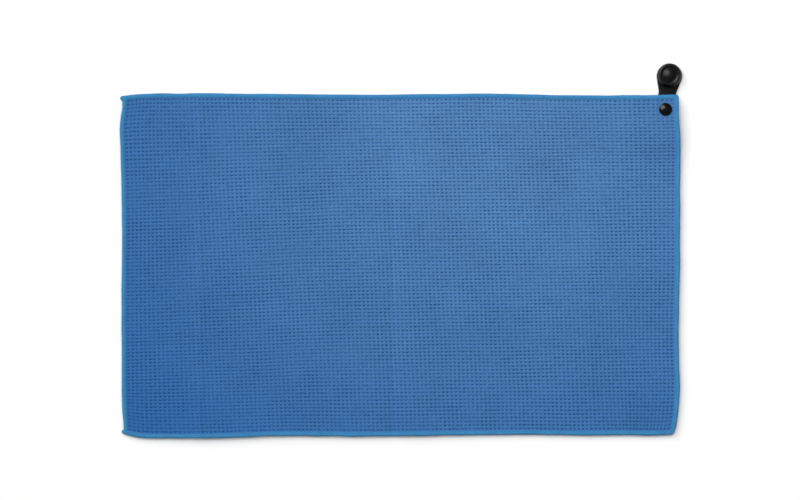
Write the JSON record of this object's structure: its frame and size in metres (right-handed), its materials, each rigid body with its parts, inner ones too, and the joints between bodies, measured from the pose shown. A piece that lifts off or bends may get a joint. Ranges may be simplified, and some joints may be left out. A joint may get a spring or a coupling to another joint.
{
  "type": "golf towel",
  "caption": "Waffle cloth golf towel with overlocked edges and a silicone magnet tab on a press stud at one corner.",
  "frame": {"origin": "middle of the cloth's underside, on the plane the towel lies on", "axes": "+X along the towel's length, towards the end with the tab; +Y across its width, towards the side with the tab; +Z out of the towel's face"},
  "size_m": [0.5031, 0.3333, 0.0095],
  "materials": {
    "waffle_cloth": "matte microfibre waffle weave",
    "overlock_thread": "lighter blue overlocked thread",
    "black_silicone": "satin black silicone",
    "black_enamel": "gloss black enamel",
    "nickel_plate": "bright plated press-stud metal",
    "magnet_plate": "nickel plated magnet"
  },
  "bodies": {
    "right_half": {"cloth_right": "waffle_cloth", "edging_top_right": "overlock_thread", "edging_bottom_right": "overlock_thread", "edging_right": "overlock_thread", "snap_cap": "black_enamel", "snap_socket": "nickel_plate", "socket_spring": "nickel_plate"},
    "left_half": {"cloth_left": "waffle_cloth", "edging_top_left": "overlock_thread", "edging_bottom_left": "overlock_thread", "edging_left": "overlock_thread"},
    "snap_male": {"snap_stud": "nickel_plate", "snap_post": "nickel_plate"},
    "strap": {"tab_strap": "black_silicone"},
    "pod": {"tab_pod": "black_silicone", "magnet": "magnet_plate", "magnet_cap": "black_silicone"}
  },
  "joints": [
    {"name": "fold_half", "type": "hinge", "parent": "right_half", "child": "left_half", "pos_m": [-0.0087, 0, 0.004], "axis": [0, 1, 0], "range_deg": [0, 178]},
    {"name": "tab_release", "type": "slide", "parent": "right_half", "child": "snap_male", "axis": [0, 0, -1], "range_m": [0, 0.006]},
    {"name": "tab_swivel", "type": "hinge", "parent": "snap_male", "child": "strap", "pos_m": [0.2379, 0.1389, 0], "axis": [0, 0, 1], "range_deg": [-115, 35]},
    {"name": "tab_flex", "type": "hinge", "parent": "strap", "child": "pod", "pos_m": [0.23991, 0.15477, 0.001], "axis": [0.9921, -0.1253, 0], "range_deg": [-90, 30], "stiffness_Nm_per_rad": 0.0058}
  ]
}
